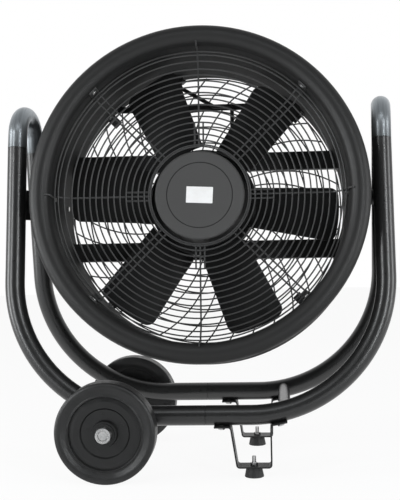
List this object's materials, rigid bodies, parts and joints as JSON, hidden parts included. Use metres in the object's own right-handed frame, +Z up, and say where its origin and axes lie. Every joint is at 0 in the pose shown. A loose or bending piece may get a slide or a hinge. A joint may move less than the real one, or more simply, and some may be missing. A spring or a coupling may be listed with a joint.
{
  "type": "drum fan",
  "caption": "Tilting drum fan: a steel drum with wire guards and a rotor motor, hung in a bent-tube stand with wheels at one end and rubber feet at the other.",
  "frame": {"origin": "on the floor, midway between the two arms and midway between the front and rear base tubes", "axes": "+X towards the feet end, -Y the air outlet (front), +Z up"},
  "size_m": [0.81, 0.47, 0.9151],
  "materials": {
    "frame_tube": "satin black paint",
    "arch": "gloss black paint",
    "spigot": "plain",
    "drum": "dark grey satin paint",
    "pivot_steel": "satin black paint",
    "friction_disc": "matt",
    "guard_wire": "black powder coat",
    "zinc": "zinc plated",
    "blade": "matt black paint",
    "impeller_hub": "satin black paint",
    "rotor_cup": "dark grey semi-matt paint",
    "motor_iron": "plain",
    "motor_cast": "cast, painted dark",
    "winding": "enamelled wire",
    "bearing_steel": "ground",
    "rail": "satin black paint",
    "cable": "matt",
    "gland": "matt",
    "tyre": "matt",
    "wheel_hub": "semi-matt",
    "bush": "plain",
    "strap": "satin black paint",
    "foot_rubber": "matt"
  },
  "bodies": {
    "stand": {"arch_left": "arch", "arch_right": "arch", "axle_nuts": "zinc", "axle_plates": "pivot_steel", "axle_rod": "zinc", "axle_spacers": "pivot_steel", "cross_tube": "frame_tube", "foot_nuts": "zinc", "foot_straps": "strap", "foot_studs": "zinc", "frame_tube_front_left": "frame_tube", "frame_tube_front_right": "frame_tube", "frame_tube_rear_left": "frame_tube", "frame_tube_rear_right": "frame_tube", "pivot_bolts": "zinc", "pivot_nuts": "zinc", "pivot_plate_left": "pivot_steel", "pivot_plate_right": "pivot_steel", "pivot_spacers": "pivot_steel", "pivot_washers": "zinc", "rubber_feet": "foot_rubber", "strap_bolts": "zinc", "tube_spigots": "spigot", "wheel_bushes": "bush", "wheel_washers": "zinc"},
    "drum": {"drum_shell": "drum", "front_guard": "guard_wire", "guard_rim": "guard_wire", "rear_guard": "guard_wire", "guard_tabs": "guard_wire", "wall_screws": "zinc", "guard_nuts": "zinc", "pivot_bracket_left": "pivot_steel", "pivot_bracket_right": "pivot_steel", "pivot_screws": "zinc", "friction_discs": "friction_disc", "motor_flange": "motor_cast", "stator_core": "motor_iron", "stator_windings": "winding", "motor_bearings": "bearing_steel", "motor_rail_upper": "rail", "motor_rail_lower": "rail", "motor_bolts": "zinc", "lead_strap": "rail", "motor_lead": "cable", "cord_gland": "gland"},
    "impeller": {"rotor_cup": "rotor_cup", "rotor_ring": "motor_iron", "motor_shaft": "bearing_steel", "impeller_hub": "impeller_hub", "blade_1": "blade", "blade_2": "blade", "blade_3": "blade", "blade_4": "blade", "blade_5": "blade", "blade_6": "blade"},
    "wheel_front": {"tyre_front": "tyre", "wheel_hub_front": "wheel_hub"},
    "wheel_rear": {"tyre_rear": "tyre", "wheel_hub_rear": "wheel_hub"}
  },
  "joints": [
    {"name": "drum_tilt", "type": "hinge", "parent": "stand", "child": "drum", "pos_m": [0, 0, 0.555], "axis": [1, 0, 0], "range_deg": [-82, 97]},
    {"name": "impeller_spin", "type": "hinge", "parent": "drum", "child": "impeller", "pos_m": [0, 0, 0.555], "axis": [0, -0.9907, 0.1357], "continuous": true},
    {"name": "wheel_front_spin", "type": "hinge", "parent": "stand", "child": "wheel_front", "pos_m": [-0.186, -0.196, 0.1], "axis": [0, 1, 0], "continuous": true},
    {"name": "wheel_rear_spin", "type": "hinge", "parent": "stand", "child": "wheel_rear", "pos_m": [-0.186, 0.196, 0.1], "axis": [0, 1, 0], "continuous": true}
  ]
}
